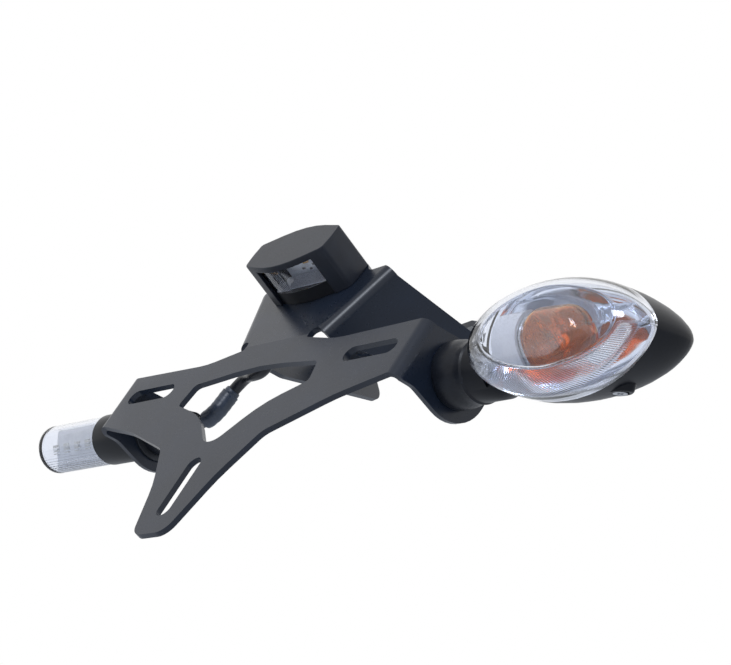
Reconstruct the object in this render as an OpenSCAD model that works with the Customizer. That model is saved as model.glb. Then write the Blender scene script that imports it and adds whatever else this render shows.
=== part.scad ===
// Tail tidy: a folded sheet number-plate hanger with its plate lamp, two indicators and one lead.
// X is the motorbike's right, Y is forward, Z is up. Millimetres.
// The origin lies on the rear face of the plate panel, midway between the two upper plate slots.

/* [Bracket sheet] */
// Thickness of the folded sheet
sheet_t = 2.5; // [2:0.5:4]
// Inside radius of every fold
fold_r = 2.5; // [2:0.5:4]
// Lean of the plate panel, top forward, in degrees from vertical
lean = 37.5; // [25:0.5:45]
// Width over the two ears
bracket_w = 194; // [176:1:230]
// Height from the plate slots' line to the top edge of the arms
arm_top = 13.4; // [11:0.1:16]
// Depth of the arms' lower edge at the ears, below the slots' line
arm_drop = 16.4; // [14:0.1:20]
// Depth of the tongue's lower end, below the slots' line
tongue_drop = 89.2; // [80:0.1:110]
// Half width of the tongue at its lower end
tongue_half_w = 10.4; // [8:0.1:14]
// Half width of the cut-out's upper corners
cutout_half_w = 40; // [30:0.5:44]
// Depth of the cut-out's lowest point before rounding
cutout_drop = 43.2; // [36:0.1:48]

/* [Plate slots] */
// Width of each number-plate slot
slot_w = 8.2; // [5:0.1:9]
// Length of the two upper slots
slot_len = 31; // [20:0.5:36]
// Sheet left between an upper slot's outer end and the ear's fold
slot_margin = 5; // [3:0.5:12]
// Length of the tongue slot
tongue_slot_len = 31.5; // [20:0.5:36]
// Depth of the tongue slot's centre below the upper slots' line
tongue_slot_drop = 63.8; // [58:0.1:66]

/* [Ears] */
// Distance of the indicator holes forward of the plate's rear face
ear_hole_y = 24.3; // [22:0.1:28]
// Height of the indicator holes over the plate slots' line
ear_hole_z = 4.2; // [2:0.1:6]
// Bore of the indicator holes
ear_bore = 10.5; // [8:0.1:12]
// Reach of the ears forward of the plate's rear face
ear_reach = 42.8; // [40:0.1:50]

/* [Web and cheeks] */
// Height of the web's fold over the plate slots' line
web_z = 19; // [18:0.5:22]
// Extra forward lean of the web
web_tilt = 4; // [1:0.5:8]
// Half width of the neck that joins the plate to the web
neck_half_w = 20.5; // [16:0.5:21]
// Height of the web over its fold
web_h = 40.2; // [38:0.1:46]
// Half width of the web's flat face at its foot
web_foot_w = 23.6; // [22.5:0.1:26]
// Splay of the two cheeks, in degrees
splay = 22.5; // [16:0.5:26]
// Run of the cheeks from the web to the hanger tabs
cheek_run = 44; // [40:1:60]
// Depth of the cheeks below the hanger tabs
strap_h = 14; // [12:0.5:16]

/* [Hanger tabs] */
// Length of each hanger tab
tab_len = 36; // [34:1:50]
// Flat width of each hanger tab
tab_w = 19; // [16:0.5:24]
// Bore of the four hanger holes
tab_bore = 6.5; // [5:0.1:8]
// Distance between left and right hanger holes
tab_hole_x = 74; // [72:1:78]
// Distance between front and rear hanger holes
tab_hole_y = 18; // [14:1:22]

/* [Plate lamp] */
// Width of the lamp
lamp_w = 52; // [44:1:56]
// Height of the lamp's barrel outline
lamp_d = 27.5; // [22:0.5:30]
// Depth of the lamp from the web
lamp_h = 22; // [18:0.5:26]
// Height of the lamp's centre line over the web's fold
lamp_z = 36; // [34:0.5:37]
// Width of the lamp's window
window_w = 35; // [28:0.5:38]
// Thickness of the lamp's front cap
cap_t = 3; // [2:0.5:4]
// Height of the black base under the lens
lamp_base_h = 6.5; // [5:0.5:8]
// Distance between the lamp's two screws
lamp_screw_pitch = 24; // [18:1:28]
// Diameter of the lamp's screws
lamp_screw_d = 4; // [3:0.5:5]

/* [Right indicator] */
// Nose-down pitch of the pod, in degrees
pod_pitch = 5; // [0:1:15]
// Length of the pod
pod_len = 84; // [70:1:92]
// Height of the pod
pod_h = 45; // [38:1:50]
// Depth of the lens behind the joint
lens_depth = 21; // [16:0.5:24]
// Depth of the housing in front of the joint
housing_depth = 26; // [24:0.5:36]
// Wall of the lens and the housing
pod_wall = 2; // [1.5:0.1:2.5]
// Length of the rubber stem
stem_len = 16; // [12:0.5:20]
// Diameter of the rubber stem
stem_d = 27.5; // [25:0.5:32]
// Diameter of the amber bulb
bulb_d = 17; // [13:0.5:18]

/* [Left indicator] */
// Diameter of the black body
body_d = 23.2; // [20:0.1:28]
// Length of the black body
body_len = 33; // [24:0.5:40]
// Diameter of the clear lens
tube_d = 22.4; // [18:0.1:26]
// Length of the clear lens
tube_len = 44; // [34:0.5:50]
// Wall of the clear lens
tube_wall = 1.6; // [1.2:0.1:2.4]

/* [Fixings] */
// Outside diameter of the indicator studs
stud_d = 10; // [8:0.1:11]
// Bore through the indicator studs
stud_bore = 5; // [4:0.1:6]
// Clearance of a stud in its hole, on the radius
stud_gap = 0.25; // [0.1:0.05:0.5]
// Width across flats of the indicator nuts
nut_af = 17; // [14:0.5:19]
// Thickness of the indicator nuts
nut_t = 4; // [3:0.5:6]
// Diameter of the indicator washers
washer_d = 28; // [20:0.5:30]
// Thickness of the indicator washers
washer_t = 1.5; // [1:0.1:2.5]

/* [Lead] */
// Diameter of the lead
lead_d = 5.4; // [4:0.1:6]
// Diameter of the heat-shrink sleeve
sleeve_d = 8; // [7.2:0.1:9]

/* [Hidden] */

arc_step = 9;
seat_gap = 0.2;
fold_out = fold_r + sheet_t;
half_w = bracket_w / 2;
bend_x = half_w - fold_out;
slot_pitch = 2 * (bend_x - slot_margin) - slot_len;
web_lean = lean + web_tilt;
// Notch between the arm and the cheek
notch_top = 3.7;
notch_r = 2.6;
// A hair of a step where two sheets' edges meet
seam = 0.02;
fold_len = (web_h - notch_top) / cos(splay) - seam;
// Angle of the horizontal in the plane of a cheek, and the fold that lays a tab level
level = atan2(sin(web_lean), cos(splay) * cos(web_lean));
tab_fold = acos(-sin(splay) * cos(web_lean));
cheek_top_slope = 0.32;
cheek_low_slope = 0.56;
tab_start = [cheek_run, fold_len + cheek_run * cheek_top_slope - 1];
tab_dir = [cos(level), sin(level)];
tab_up = [-sin(level), cos(level)];
tab_end = tab_start + tab_len * tab_dir;
strap_low = tab_start - strap_h * tab_up;
strap_end = tab_end - strap_h * tab_up;
// Where the cheek's lower edge meets the strap's lower edge
strap_join_y = (strap_low[1] - strap_low[0] * tan(level)) / (cheek_low_slope - tan(level));
strap_join = [strap_join_y, strap_join_y * cheek_low_slope];

// Lamp screws and lead hole, relative to the lamp's centre line
lamp_screw_z = -3;
lamp_lead_bore = 7;

// Unit vector, and the points of a rounded corner between three points
function unit(v) = v / norm(v);
function turn(v, a) = [v[0] * cos(a) - v[1] * sin(a), v[0] * sin(a) + v[1] * cos(a)];
function xy(p) = [p[0], p[1]];
function corner(p, q, s, r) =
    let (a = unit(xy(p) - xy(q)), b = unit(xy(s) - xy(q)),
         half = acos(a * b) / 2,
         centre = xy(q) + unit(a + b) * r / sin(half),
         from = xy(q) + a * r / tan(half) - centre,
         sweep = 180 - 2 * half,
         side = a[0] * b[1] - a[1] * b[0] > 0 ? -1 : 1,
         steps = max(2, ceil(sweep / arc_step)))
    [for (i = [0 : steps]) centre + turn(from, side * sweep * i / steps)];
function backwards_list(list) = [for (i = [len(list) - 1 : -1 : 0]) list[i]];
// A closed outline of corners [x, y, radius], with each corner rounded by its radius
function rounded(path) =
    let (n = len(path))
    [for (i = [0 : n - 1])
        let (q = path[i])
        each (q[2] > 0 ? corner(path[(i + n - 1) % n], q, path[(i + 1) % n], q[2]) : [xy(q)])];
// A half outline on the right, joined to its own reflection
function both_sides(half) =
    concat(half, [for (i = [len(half) - 1 : -1 : 0])
        let (p = half[i]) if (p[0] > 0) [-p[0], p[1], p[2]]]);

// Frames: the leaning plate, the web, and the two indicators, whose X runs outwards from the ear
module in_plate() rotate([-lean, 0, 0]) children();
module in_web() in_plate() translate([0, seam, web_z - seam]) rotate([-web_tilt, 0, 0]) children();
module in_lamp() in_web() translate([0, 0, lamp_z]) children();
module in_right() in_plate() translate([half_w, ear_hole_y, ear_hole_z]) rotate([lean - pod_pitch, 0, 0])
    children();
module in_left() in_plate() translate([-half_w, ear_hole_y, ear_hole_z]) rotate([lean, 0, 0])
    mirror([1, 0, 0]) children();

// A flat sheet whose outline stands in X and Z, from Y = 0 forwards
module upright(t) translate([0, t, 0]) rotate([90, 0, 0]) linear_extrude(t) children();
// A flat sheet whose outline stands in Y and Z, from X = 0 outwards
module sideways(t) rotate([90, 0, 90]) linear_extrude(t) children();
// A rod along X
module rod(d, l) rotate([0, 90, 0]) cylinder(d = d, h = l, $fn = 64);
// A rod along Y
module across(d, l) rotate([-90, 0, 0]) cylinder(d = d, h = l, $fn = 48);
// A surface of revolution about X, from a profile of [radius, x]
module turned(profile) rotate([90, 0, 90]) rotate_extrude($fn = 96) polygon(profile);

// Goes to a fold line: outer face at X = sheet_t, the free edge along Z, the sheet arriving along Y
module at_fold(x, z, a) translate([x, sheet_t, z]) rotate([0, a, 0]) rotate([0, 0, -90]) children();
module fold(length, a) {
    translate([-fold_r, 0, 0]) rotate_extrude(angle = a, $fn = 96)
        translate([fold_r, 0]) square([sheet_t, length]);
    translate([-fold_r, 0, 0]) rotate([0, 0, a]) translate([fold_r, 0, 0]) children();
}

// Plate panel: two arms and the tongue below the web's fold
arm_waist_x = 42;
arm_low_x = 66;
crotch = [33, 21.8];
tongue_waist = [20, 60.5];
cutout_side = [2.6, 11.8];
cutout_waist = [20.3, 21];
plate_half = [[0, web_z, 0], [neck_half_w, web_z, 0], [neck_half_w, arm_top + 3.9, 1],
              [arm_waist_x, arm_top - 1.1, 40], [bend_x, arm_top, 0], [bend_x, -arm_drop, 0],
              [arm_low_x, -arm_drop - 7.2, 80], [crotch[0], -arm_drop - crotch[1], 9],
              [tongue_waist[0], -tongue_waist[1], 60], [tongue_half_w, -tongue_drop, 8]];
cutout_half = [[0, 5, 120], [cutout_half_w, 0, 3], [cutout_half_w + cutout_side[0], -cutout_side[1], 2.5],
               [cutout_waist[0], -cutout_waist[1], 45], [0, -cutout_drop, 8.5]];
module plate_slot(length) {
    for (side = [-1, 1]) translate([side * (length - slot_w) / 2, -1, 0]) across(slot_w, sheet_t + 2);
    translate([-(length - slot_w) / 2, -1, -slot_w / 2]) cube([length - slot_w, sheet_t + 2, slot_w]);
}
module plate_panel() difference() {
    upright(sheet_t) polygon(rounded(both_sides(plate_half)));
    translate([0, -1, 0]) upright(sheet_t + 2) polygon(rounded(both_sides(cutout_half)));
    for (side = [-1, 1]) translate([side * slot_pitch / 2, 0, 0]) plate_slot(slot_len);
    translate([0, 0, -tongue_slot_drop]) rotate([0, 90, 0]) plate_slot(tongue_slot_len);
}

// Ear: folded forward from an arm's end, with the hole of one indicator
ear_half_h = 18.5;
ear_out = ear_reach - fold_out;
ear_path = [[0, -arm_drop, 0], [6, ear_hole_z - ear_half_h, 10], [ear_out, ear_hole_z - ear_half_h, 18.3],
            [ear_out, arm_top + 14.6, 15], [0, arm_top, 0]];
module ear() at_fold(bend_x, 0, 0) {
    translate([0, 0, -arm_drop]) fold(arm_top + arm_drop, 90)
        translate([0, 0, arm_drop]) difference() {
            sideways(sheet_t) polygon(rounded(ear_path));
            translate([-1, ear_hole_y - fold_out, ear_hole_z]) rod(ear_bore, sheet_t + 2);
        }
}

// Web: stands over the arms, narrow at its neck, with a tab behind the lamp
neck_w = neck_half_w - seam;
web_half = [[0, 0, 0], [neck_w, 0, 0], [neck_w, notch_top, notch_r], [web_foot_w, notch_top, 0],
            [web_foot_w + (web_h - notch_top) * tan(splay), web_h, 0], [29, web_h - 1.2, 5],
            [lamp_w / 2 - 1.6, lamp_z + 9, 5], [0, lamp_z + lamp_d / 2 - 0.6, 50]];
module web_panel() difference() {
    upright(sheet_t) polygon(rounded(both_sides(web_half)));
    for (side = [-1, 1]) translate([side * lamp_screw_pitch / 2, -1, lamp_z + lamp_screw_z])
        across(lamp_screw_d + 2 * stud_gap, sheet_t + 2);
    translate([0, -1, lamp_z + lamp_screw_z]) across(lamp_lead_bore, sheet_t + 2);
}

// Cheek: folded forward from the web's side, tapering to a level strap that carries a hanger tab
// The tab's sheet starts a little below the strap's top edge, and a hair inside its faces and ends
tab_lead = 1;
bend_len = tab_len - 2 * seam;
bend_steps = 20;
strap_out = tab_end - tab_lead * tab_up;
strap_in = tab_start - tab_lead * tab_up;
cheek_path = [[0, 0, 0], [3, 0.6, 6], [strap_join[0], strap_join[1], 14], [strap_end[0], strap_end[1], 6],
              [strap_out[0], strap_out[1], 0], [strap_in[0], strap_in[1], 0], [0, fold_len, 0]];
tab_path = [[-tab_w, 0, 0], [tab_w, 0, 5], [tab_w, bend_len, 5], [-tab_w, bend_len, 0]];
// One face of the bent tab: up from the strap, round the bend and out to the free edge
function bend_line(r) = concat([[r - fold_r, -3 * tab_lead]],
    [for (i = [0 : bend_steps]) let (t = tab_fold * i / bend_steps) [r * cos(t) - fold_r, r * sin(t)]],
    [[r * cos(tab_fold) - fold_r, r * sin(tab_fold)] + (tab_w + 1) * [-sin(tab_fold), cos(tab_fold)]]);
module hanger_tab() intersection() {
    linear_extrude(bend_len)
        polygon(concat(bend_line(fold_out - seam), backwards_list(bend_line(fold_r + seam))));
    translate([-fold_r, 0, 0]) rotate([0, 0, tab_fold]) translate([-tab_w, 0, 0])
        sideways(3 * tab_w) polygon(rounded(tab_path));
}
module cheek() at_fold(web_foot_w, notch_top, splay) fold(fold_len, 90) {
    sideways(sheet_t) polygon(rounded(cheek_path));
    translate([0, tab_end[0], tab_end[1]]) rotate([90 + level, 0, 0]) translate([0, 0, seam]) hanger_tab();
}

// A cheek's point seen from above, and the middle of its hanger tab, which gives the holes' place
function cheek_plan(p) = [web_foot_w + p[1] * sin(splay),
    web_z * sin(lean) + (fold_out + p[0]) * cos(web_lean) + (notch_top + p[1] * cos(splay)) * sin(web_lean)];
tab_line = cheek_plan(tab_end) - cheek_plan(tab_start);
tab_mid = (cheek_plan(tab_start) + cheek_plan(tab_end)) / 2 + tab_w / 2 * turn(unit(tab_line), 90);
tab_mid_y = tab_mid[1];
module bracket() color([0.2, 0.21, 0.23]) difference() {
    union() {
        in_plate() plate_panel();
        in_web() web_panel();
        in_plate() {
            ear();
            mirror([1, 0, 0]) ear();
        }
        in_web() {
            cheek();
            mirror([1, 0, 0]) cheek();
        }
    }
    for (x = [-1, 1], y = [-1, 1])
        translate([x * tab_hole_x / 2, tab_mid_y + y * tab_hole_y / 2, 0])
            cylinder(d = tab_bore, h = 60, $fn = 48);
}

// Plate lamp. Its frame has X across, Y towards the web and Z up the web.
lamp_half = [[0, lamp_d / 2 + 1.4, 50], [lamp_w / 2 - 0.4, 8, 2], [lamp_w / 2, 0, 20],
             [lamp_w / 2 - 1, -7, 3], [0, -lamp_d / 2 - 1.6, 45]];
pocket_z = 4;
lens_recess = 1.6;
lamp_wall = 1.6;
led_size = 3.4;
module lamp_outline(h, lift) translate([0, -h, lift]) upright(h) polygon(rounded(both_sides(lamp_half)));
// The window's space, from the web to a depth, less a gap on each side
module lamp_pocket(from, to, gap) translate([-window_w / 2 + gap, -to, -lamp_d])
    cube([window_w - 2 * gap, to - from, lamp_d + pocket_z - gap]);
module lamp_housing() color([0.28, 0.31, 0.35]) in_lamp() difference() {
    lamp_outline(lamp_h, 0);
    lamp_pocket(-1, lamp_h - cap_t, 0);
}
module lamp_base() color([0.12, 0.13, 0.15]) in_lamp() difference() {
    intersection() {
        lamp_outline(lamp_h, lens_recess);
        lamp_pocket(0, lamp_base_h, seat_gap);
    }
    for (side = [-1, 1]) translate([side * lamp_screw_pitch / 2, -lamp_base_h + 1.5, lamp_screw_z])
        across(lamp_screw_d, lamp_base_h);
}
module lamp_lens() color([0.85, 0.9, 0.95, 0.5]) in_lamp() difference() {
    intersection() {
        lamp_outline(lamp_h, lens_recess);
        lamp_pocket(lamp_base_h, lamp_h - cap_t - seat_gap, seat_gap);
    }
    translate([0, 0, lamp_wall]) intersection() {
        translate([0, 1, 0]) lamp_outline(lamp_h + 2, lens_recess);
        lamp_pocket(lamp_base_h - 1, lamp_h, seat_gap + lamp_wall);
    }
}
board_t = 1.6;
board_z = pocket_z - board_t - seat_gap;
led_t = 1;
led_step = 12;
led_y = -lamp_h + cap_t + 3.6;
board_h = lamp_h - cap_t - lamp_base_h - 2 * seat_gap;
module lamp_circuit_board() color([0.9, 0.91, 0.9]) in_lamp()
    translate([-window_w / 2 + 3, -lamp_base_h - board_h, board_z])
        cube([window_w - 6, board_h, board_t]);
module lamp_leds() color([0.95, 0.75, 0.25]) in_lamp()
    for (x = [-led_step, 0, led_step]) translate([x - led_size / 2, led_y, board_z - led_t])
        cube([led_size, led_size, led_t]);
screw_head_h = 2.6;
module lamp_washers() color([0.7, 0.72, 0.74]) in_lamp()
    for (side = [-1, 1]) translate([side * lamp_screw_pitch / 2, sheet_t, lamp_screw_z]) difference() {
        across(lamp_screw_d * 2.25, 0.8);
        translate([0, -1, 0]) across(lamp_screw_d + 0.3, 3);
    }
module lamp_screws() color([0.6, 0.62, 0.65]) in_lamp()
    for (side = [-1, 1]) translate([side * lamp_screw_pitch / 2, 0, lamp_screw_z]) difference() {
        union() {
            translate([0, -lamp_base_h + 2, 0]) across(lamp_screw_d, lamp_base_h - 2 + sheet_t + 1);
            translate([0, sheet_t + 0.8, 0]) across(lamp_screw_d * 1.8, screw_head_h);
        }
        translate([0, sheet_t + 0.8 + screw_head_h - 1.6, 0]) rotate([-90, 0, 0])
            cylinder(d = lamp_screw_d * 0.75, h = 3, $fn = 6);
    }

// Lofts: rings of points joined into a closed body, or two of them into a shell with one open rim
function flat(rings) = [for (r = rings) each r];
function strip(n, a, b) = [for (j = [0 : n - 1])
    let (k = (j + 1) % n) each [[a + j, b + j, b + k], [a + j, b + k, a + k]]];
function fan(n, a, tip) = [for (j = [0 : n - 1]) [a + j, tip, a + (j + 1) % n]];
function backwards(faces) = [for (f = faces) [f[2], f[1], f[0]]];
function middle(ring) = [for (k = [0 : 2]) [for (p = ring) p[k]] * [for (p = ring) 1] / len(ring)];
module shell(outer, inner) {
    n = len(outer[0]);
    a = len(outer);
    b = len(inner);
    tip = n * (a + b);
    polyhedron(concat(flat(outer), flat(inner), [middle(outer[a - 1]), middle(inner[b - 1])]),
        concat([for (i = [0 : a - 2]) each strip(n, n * i, n * (i + 1))],
               fan(n, n * (a - 1), tip),
               backwards([for (i = [0 : b - 2]) each strip(n, n * (a + i), n * (a + i + 1))]),
               backwards(fan(n, n * (a + b - 1), tip + 1)),
               backwards(strip(n, 0, n * a))));
}

// A solid with closed ends, from rings
module solid_loft(rings) {
    n = len(rings[0]);
    a = len(rings);
    polyhedron(flat(rings), concat([for (i = [0 : a - 2]) each strip(n, n * i, n * (i + 1))],
        [[for (j = [0 : n - 1]) j]], [[for (j = [n - 1 : -1 : 0]) n * (a - 1) + j]]));
}

// Pod of the right indicator: a leaf outline, drawn in to nothing behind and in front of its joint
pod_x = stem_len + 12 + pod_len / 2;
pod_z = 2.6;
pod_joint_y = -8;
pod_sides = 44;
pod_steps = 9;
lens_round = 2.8;
lens_shift = -9;
tip_shift = 28;
tip_blunt = 0.72;
function power(v, e) = sign(v) * pow(abs(v), e);
// One ring: drawn in by a factor, moved along the pod, and inset by a wall
// It runs one way behind the joint (1) and the other way in front of it (-1)
function pod_ring(way, y, size, shift, inset) = [for (i = [0 : pod_sides - 1])
    let (a = way * 360 * i / pod_sides)
    [pod_x + shift + (size * pod_len / 2 - inset) * cos(a), pod_joint_y + y,
     pod_z + (size * pod_h / 2 - inset) * power(sin(a), cos(a) > 0 ? 1.22 : 1)]];
function lens_size(s) = pow(1 - pow(s, lens_round), 1 / lens_round);
function lens_rings(inset) = [for (i = [0 : pod_steps])
    let (s = i < pod_steps ? sin(90 * i / pod_steps) : 0.998)
    pod_ring(1, -(lens_depth - inset) * s, lens_size(s), lens_shift * s * s, inset * (1 - 0.4 * s))];
function housing_rings(inset) = [for (i = [0 : pod_steps])
    let (t = 88 * i / pod_steps)
    pod_ring(-1, (housing_depth - inset) * sin(t), pow(cos(t), tip_blunt), tip_shift * (1 - cos(t)),
             inset * (1 - 0.8 * sin(t)))];
reflector_y = 5.2;
reflector_depth = 14;
reflector_t = 1.2;
reflector_gap = 0.5;
// The reflector's rings follow the housing's at the same depth, drawn in to a bowl
function reflector_rings(inset) = [for (i = [0 : pod_steps])
    let (t = 86 * i / pod_steps,
         y = reflector_y + (reflector_depth - inset) * sin(t),
         a = asin(y / housing_depth))
    pod_ring(-1, y, pow(cos(a), tip_blunt) * pow(cos(t), 0.6), tip_shift * (1 - cos(a)),
             (pod_wall + reflector_gap + inset) * (1 - 0.6 * sin(t)))];
neck_d = 25;
neck_to = 34;
neck_socket = 11;
// Lens screw: goes up into the lens rim from a boss under the housing
lens_screw_x = pod_x + 17;
lens_screw_y = pod_joint_y + 9;
lens_screw_z = pod_z - pod_h / 2 + 3.6;
lens_screw_d = 5.6;
lens_screw_t = 1.6;
module right_indicator_stem() color([0.13, 0.14, 0.16]) in_right()
    turned([[stud_d / 2, 0], [stem_d / 2 - 0.6, 0], [stem_d / 2, 1], [stem_d / 2 + 0.2, 4],
            [stem_d / 2 - 0.2, 8], [stem_d / 2 - 1.2, 11.5], [neck_d / 2 + 0.6, stem_len - 0.8],
            [neck_d / 2, stem_len], [stud_d / 2, stem_len]]);
module pod_neck() difference() {
    turned([[0, stem_len], [neck_d / 2, stem_len], [neck_d / 2, pod_x - pod_len / 2],
            [neck_d / 2 - 3, neck_to], [0, neck_to]]);
    solid_loft(housing_rings(pod_wall - 0.2));
    translate([pod_x - pod_len / 2 - 1.5, pod_joint_y - neck_d, -neck_d]) cube([neck_to, neck_d, 2 * neck_d]);
}
module right_indicator_housing() color([0.2, 0.22, 0.25]) in_right() difference() {
    union() {
        shell(housing_rings(0), housing_rings(pod_wall));
        pod_neck();
    }
    translate([stem_len - 1, 0, 0]) rod(stud_d, neck_socket + 1);
    translate([stem_len, 0, 0]) rod(stud_bore, neck_to - stem_len);
    translate([lens_screw_x, lens_screw_y, lens_screw_z - 10])
        cylinder(d = lens_screw_d + 2 * seat_gap, h = 10, $fn = 48);
}
module right_indicator_lens() color([0.9, 0.93, 0.98, 0.4]) in_right()
    shell(lens_rings(0), lens_rings(pod_wall));
module right_indicator_reflector() color([0.8, 0.82, 0.85]) in_right()
    shell(reflector_rings(0), reflector_rings(reflector_t));

bulb_back = 28;
bulb_x = pod_x - bulb_back;
bulb_y = pod_joint_y - 4;
bulb_z = pod_z + 1;
holder_foot_d = 9;
holder_r = 8.6;
bulb_cap_r = 7;
holder_len = 14;
module in_bulb() in_right() translate([bulb_x, bulb_y, bulb_z]) children();
module right_indicator_bulb_holder() color([0.93, 0.93, 0.93]) difference() {
    union() {
        in_bulb() turned([[0, 0], [0.7 * holder_r, 0], [holder_r, 1.5], [holder_r, holder_len], [0, holder_len]]);
        in_right() intersection() {
            translate([bulb_x + holder_len / 2, bulb_y + 4, bulb_z]) across(holder_foot_d, housing_depth);
            solid_loft(reflector_rings(reflector_t));
        }
        in_bulb() translate([holder_len / 2, 4, 0]) across(holder_foot_d, reflector_y + 1);
    }
    in_bulb() translate([4, 0, 0]) rod(2 * bulb_cap_r + 0.2, holder_len);
}
module right_indicator_bulb() color([0.95, 0.5, 0.1]) in_bulb()
    turned([[0, 4.2], [bulb_cap_r, 4.2], [bulb_cap_r, holder_len + 1.5], [bulb_d / 2 - 0.4, holder_len + 3],
            [bulb_d / 2, holder_len + 4.5], [bulb_d / 2, holder_len + 16],
            for (a = [15 : 15 : 75]) [bulb_d / 2 * cos(a), holder_len + 16 + bulb_d / 2 * sin(a)],
            [0, holder_len + 16 + bulb_d / 2]]);
module right_indicator_lens_screw() color([0.6, 0.62, 0.65]) in_right()
    translate([lens_screw_x, lens_screw_y, lens_screw_z - lens_screw_t]) difference() {
        cylinder(d = lens_screw_d, h = lens_screw_t, $fn = 48);
        for (a = [0, 90]) rotate([0, 0, a]) translate([-1.6, -0.35, -0.1]) cube([3.2, 0.7, 1]);
    }

// Studs, washers and nuts of both indicators, drawn with X running outwards from the ear's outer face
stud_in = sheet_t + washer_t + nut_t + 2;
module stud(outer_len) difference() {
    translate([-stud_in, 0, 0]) rod(stud_d, stud_in + outer_len);
    translate([-stud_in - 1, 0, 0]) rod(stud_bore, stud_in + outer_len + 2);
}
module washer() translate([-sheet_t - washer_t, 0, 0]) difference() {
    rod(washer_d, washer_t);
    translate([-1, 0, 0]) rod(stud_d + 2 * stud_gap, washer_t + 2);
}
module nut() translate([-sheet_t - washer_t - nut_t, 0, 0]) difference() {
    intersection() {
        rotate([0, 90, 0]) cylinder(d = nut_af / cos(30), h = nut_t, $fn = 6);
        translate([-1, 0, 0]) rod(nut_af / cos(30) - 0.8, nut_t + 2);
    }
    translate([-1, 0, 0]) rod(stud_d, nut_t + 2);
}
module right_indicator_stud() color([0.7, 0.72, 0.74]) in_right() stud(stem_len + neck_socket);
module right_indicator_washer() color([0.35, 0.37, 0.4]) in_right() washer();
module right_indicator_nut() color([0.7, 0.72, 0.74]) in_right() nut();

// Left indicator: black body, clear tube, and a board of light-emitting diodes before a white half-round
body_stud = 12;
body_cavity_r = 8.5;
module left_indicator_body() color([0.14, 0.15, 0.17]) in_left()
    turned([[stud_d / 2, 0], [9.4, 0], [9.8, 0.6], [10.2, 1.6], [body_d / 2 - 0.6, 2.6], [body_d / 2, 3.6],
            [body_d / 2, body_len - 0.8], [body_d / 2 - 0.6, body_len], [body_cavity_r, body_len],
            [body_cavity_r, body_stud + 2], [stud_d / 2, body_stud + 2]]);
module left_indicator_lens() color([0.9, 0.93, 0.98, 0.4]) in_left()
    turned([[tube_d / 2 - tube_wall, body_len], [tube_d / 2, body_len], [tube_d / 2, body_len + tube_len - 2],
            [tube_d / 2 - 0.6, body_len + tube_len - 0.6], [tube_d / 2 - 2, body_len + tube_len],
            [0, body_len + tube_len], [0, body_len + tube_len - tube_wall],
            [tube_d / 2 - tube_wall, body_len + tube_len - tube_wall]]);
tube_inner_r = tube_d / 2 - tube_wall - seat_gap;
inside_len = tube_len - tube_wall - 2 * seat_gap;
led_board_t = 1.6;
led_board_w = 13;
led_board_in = 5;
left_led_n = 5;
module left_indicator_reflector() color([0.92, 0.93, 0.95]) in_left() intersection() {
    translate([body_len + seat_gap, 0, 0]) rod(2 * tube_inner_r, inside_len);
    translate([body_len, 0, -tube_d]) cube([tube_len, tube_d, 2 * tube_d]);
}
module left_indicator_led_board() color([0.9, 0.92, 0.9]) in_left()
    translate([body_len - led_board_in, -led_board_t, -led_board_w / 2])
        cube([led_board_in + inside_len - 2, led_board_t, led_board_w]);
module left_indicator_leds() color([0.97, 0.93, 0.7]) in_left()
    for (i = [0 : left_led_n - 1])
        translate([body_len + (i + 0.6) * inside_len / left_led_n, -led_board_t - led_t, -led_size / 2])
            cube([led_size, led_t, led_size]);
module left_indicator_stud() color([0.7, 0.72, 0.74]) in_left() stud(body_stud);
module left_indicator_washer() color([0.35, 0.37, 0.4]) in_left() washer();
module left_indicator_nut() color([0.7, 0.72, 0.74]) in_left() nut();
// Rubber boot: covers the nut and tapers to the lead
boot_len = 18.5;
boot_gap = 0.2;
boot_from = sheet_t + washer_t + boot_gap;
boot_r = nut_af / 2 / cos(30) + 1.4;
module left_indicator_boot() color([0.12, 0.13, 0.15]) in_left()
    turned([[boot_r - 1.6, -boot_from], [boot_r, -boot_from],
            [boot_r, -stud_in + 2], [boot_r - 0.8, -stud_in - 1],
            [lead_d / 2 + 2.9, -stud_in - boot_len], [lead_d / 2, -stud_in - boot_len],
            [lead_d / 2, -stud_in - boot_gap], [stud_d / 2 + boot_gap, -stud_in - boot_gap],
            [boot_r - 1.6, -stud_in + 2 - boot_gap]]);

// Clip stuck to the web's front face, round the lead
clip_v = 21.5;
clip_y = 7.2;
clip_x = -20.5;
clip_h = 7;
clip_wall = 1.5;
clip_bore = lead_d + 0.6;

// Lead of the left indicator, in the plate's frame: out of the boot, up in its sleeve, under the cheek
// and up the web through its clip. Straight runs between corners, each rounded by its radius.
function from_web(x, y, z) = [x, seam + y * cos(web_tilt) + z * sin(web_tilt),
                              web_z - seam + z * cos(web_tilt) - y * sin(web_tilt)];
lead_bend = 10.8;
lead_corners = [[[-half_w + 10, ear_hole_y, ear_hole_z], 0],
                [[-half_w + 39, ear_hole_y, ear_hole_z], lead_bend],
                [[-half_w + 45.2, ear_hole_y - 1.4, ear_hole_z + 25.3], lead_bend],
                [[-web_foot_w - 10.4, 17.2, web_z + 2.6], 14],
                [[clip_x + 3.5, 15, web_z + 1.3], lead_bend],
                [from_web(clip_x, clip_y, clip_v - 3.6), lead_bend],
                [from_web(clip_x, clip_y, clip_v + clip_h + 0.2), 0]];
lead_arc_step = 15;
function bend_points(p, q, s, r) =
    let (a = unit(p - q), b = unit(s - q),
         half = acos(a * b) / 2,
         centre = q + unit(a + b) * r / sin(half),
         from = unit(q + a * r / tan(half) - centre),
         sweep = 180 - 2 * half,
         steps = max(2, ceil(sweep / lead_arc_step)))
    [for (i = [0 : steps]) centre + r * (cos(sweep * i / steps) * from - sin(sweep * i / steps) * a)];
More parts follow.
